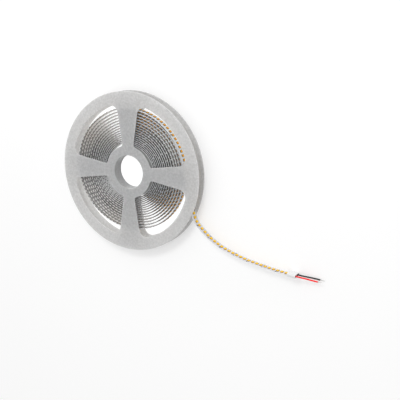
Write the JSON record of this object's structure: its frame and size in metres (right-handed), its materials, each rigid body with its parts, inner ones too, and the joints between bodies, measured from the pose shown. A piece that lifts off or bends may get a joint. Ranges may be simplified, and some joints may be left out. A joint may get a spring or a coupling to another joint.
{
  "type": "led strip light reel",
  "caption": "Flat plastic reel with a round bore and windowed flanges, wound with LED strip light whose free end runs out to a white sleeve with a red and a black lead wire.",
  "frame": {"origin": "on the floor under the reel's centre, at the rear flange's outer face", "axes": "+Z along the reel's axis, from the rear flange up to the front flange; +X towards the side where the strip leaves the reel; +Y away from the free end, so that the free end runs out towards +X and -Y"},
  "size_m": [0.32, 0.1833, 0.0128],
  "materials": {
    "reel_plastic": "satin",
    "strip_white": "satin",
    "led_package": "satin",
    "resistor_black": "satin",
    "sleeve_white": "satin",
    "wire_black": "satin",
    "wire_red": "satin",
    "tinned_copper": "satin"
  },
  "bodies": {
    "root": {"black_solder_joint": "tinned_copper", "black_wire": "wire_black", "black_wire_tip": "tinned_copper", "chip_resistor_1": "resistor_black", "chip_resistor_2": "resistor_black", "chip_resistor_3": "resistor_black", "chip_resistor_4": "resistor_black", "chip_resistor_5": "resistor_black", "end_sleeve": "sleeve_white", "front_reel_half": "reel_plastic", "led_01": "led_package", "led_02": "led_package", "led_03": "led_package", "led_04": "led_package", "led_05": "led_package", "led_06": "led_package", "led_07": "led_package", "led_08": "led_package", "led_09": "led_package", "led_10": "led_package", "led_11": "led_package", "led_12": "led_package", "led_13": "led_package", "led_14": "led_package", "led_15": "led_package", "led_16": "led_package", "led_17": "led_package", "led_18": "led_package", "led_19": "led_package", "led_20": "led_package", "led_21": "led_package", "led_22": "led_package", "led_23": "led_package", "led_24": "led_package", "led_25": "led_package", "led_26": "led_package", "led_27": "led_package", "led_28": "led_package", "led_29": "led_package", "led_30": "led_package", "led_31": "led_package", "led_32": "led_package", "led_33": "led_package", "led_34": "led_package", "led_35": "led_package", "led_36": "led_package", "led_37": "led_package", "rear_reel_half": "reel_plastic", "red_solder_joint": "tinned_copper", "red_wire": "wire_red", "red_wire_tip": "tinned_copper", "strip_free_end": "strip_white", "strip_winding": "strip_white"}
  },
  "joints": []
}
